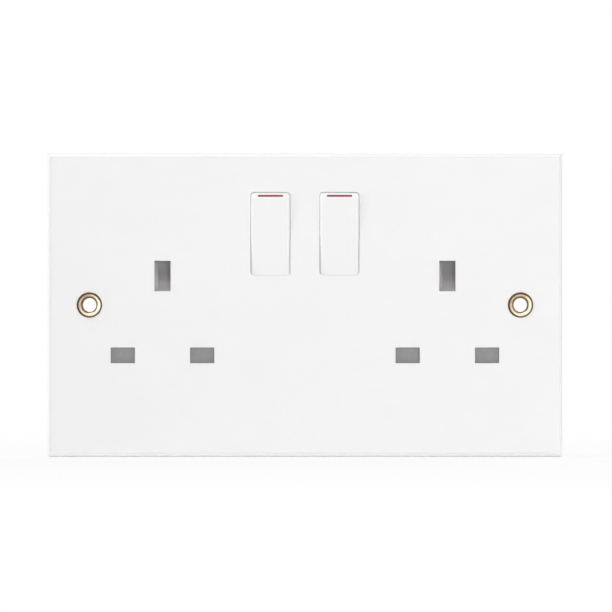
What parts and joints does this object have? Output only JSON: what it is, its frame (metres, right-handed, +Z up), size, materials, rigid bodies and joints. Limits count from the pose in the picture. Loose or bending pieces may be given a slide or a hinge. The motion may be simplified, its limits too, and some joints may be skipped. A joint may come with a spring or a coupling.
{
  "type": "uk twin socket",
  "caption": "White twin switched wall socket for British flat-pin plugs, with rocker switches, red flashes, grey shutters and brass-lined fixing holes.",
  "frame": {"origin": "midway between the two fixing holes, in the plane of the wall's surface", "axes": "+X right and +Z up as seen from the room, +Y into the wall"},
  "size_m": [0.144, 0.0279, 0.085],
  "materials": {
    "white_plate": "moulded white urea, satin gloss",
    "white_rocker": "moulded white, satin gloss",
    "red_flash": "moulded crimson inlay",
    "rear_white": "moulded white urea, matt",
    "grey_shutter": "moulded mid grey nylon",
    "eyelet_brass": "polished, pressed",
    "strip_brass": "rolled strip",
    "earth_brass": "rolled strip",
    "arm_copper": "rolled copper alloy",
    "contact_silver": "silver contact facing",
    "spring_steel": "drawn spring wire",
    "plunger_nylon": "moulded nylon",
    "screw_steel": "zinc plated"
  },
  "bodies": {
    "housing": {"front_plate": "white_plate", "rear_moulding": "rear_white", "eyelet_left": "eyelet_brass", "eyelet_right": "eyelet_brass", "line_bar": "strip_brass", "neutral_bar": "strip_brass", "line_contact_left": "strip_brass", "line_contact_right": "strip_brass", "earth_bar": "earth_brass", "earth_strap_left": "earth_brass", "earth_strap_right": "earth_brass", "fixed_contact_left": "contact_silver", "fixed_contact_right": "contact_silver", "shutter_spring_left": "spring_steel", "shutter_spring_right": "spring_steel", "terminal_screws": "screw_steel", "case_screws": "screw_steel"},
    "rocker_body_left": {"rocker_left": "white_rocker", "rocker_flash_left": "red_flash", "plunger_left": "plunger_nylon", "plunger_spring_left": "spring_steel"},
    "arm_body_left": {"switch_arm_left": "arm_copper", "arm_contact_left": "contact_silver"},
    "shutter_body_left": {"shutter_left": "grey_shutter"},
    "rocker_body_right": {"rocker_right": "white_rocker", "rocker_flash_right": "red_flash", "plunger_right": "plunger_nylon", "plunger_spring_right": "spring_steel"},
    "arm_body_right": {"switch_arm_right": "arm_copper", "arm_contact_right": "contact_silver"},
    "shutter_body_right": {"shutter_right": "grey_shutter"}
  },
  "joints": [
    {"name": "rocker_left_press", "type": "hinge", "parent": "housing", "child": "rocker_body_left", "pos_m": [-0.00965, -0.0048, 0.0199], "axis": [1, 0, 0], "range_deg": [-12, 0]},
    {"name": "arm_left_rock", "type": "hinge", "parent": "housing", "child": "arm_body_left", "pos_m": [-0.00965, 0.0073, 0.0199], "axis": [1, 0, 0], "range_deg": [0, 19]},
    {"name": "shutter_left_slide", "type": "slide", "parent": "housing", "child": "shutter_body_left", "axis": [0, 0, -1], "range_m": [0, 0.00834], "stiffness_N_per_m": 40, "springref_m": -0.008, "deforming": ["shutter_spring_left"]},
    {"name": "rocker_right_press", "type": "hinge", "parent": "housing", "child": "rocker_body_right", "pos_m": [0.00965, -0.0048, 0.0199], "axis": [1, 0, 0], "range_deg": [-12, 0]},
    {"name": "arm_right_rock", "type": "hinge", "parent": "housing", "child": "arm_body_right", "pos_m": [0.00965, 0.0073, 0.0199], "axis": [1, 0, 0], "range_deg": [0, 19]},
    {"name": "shutter_right_slide", "type": "slide", "parent": "housing", "child": "shutter_body_right", "axis": [0, 0, -1], "range_m": [0, 0.00834], "stiffness_N_per_m": 40, "springref_m": -0.008, "deforming": ["shutter_spring_right"]}
  ],
  "couplings": [
    {"joint": "arm_left_rock", "follows": "rocker_left_press", "ratio": -1.5833},
    {"joint": "arm_right_rock", "follows": "rocker_right_press", "ratio": -1.5833}
  ]
}
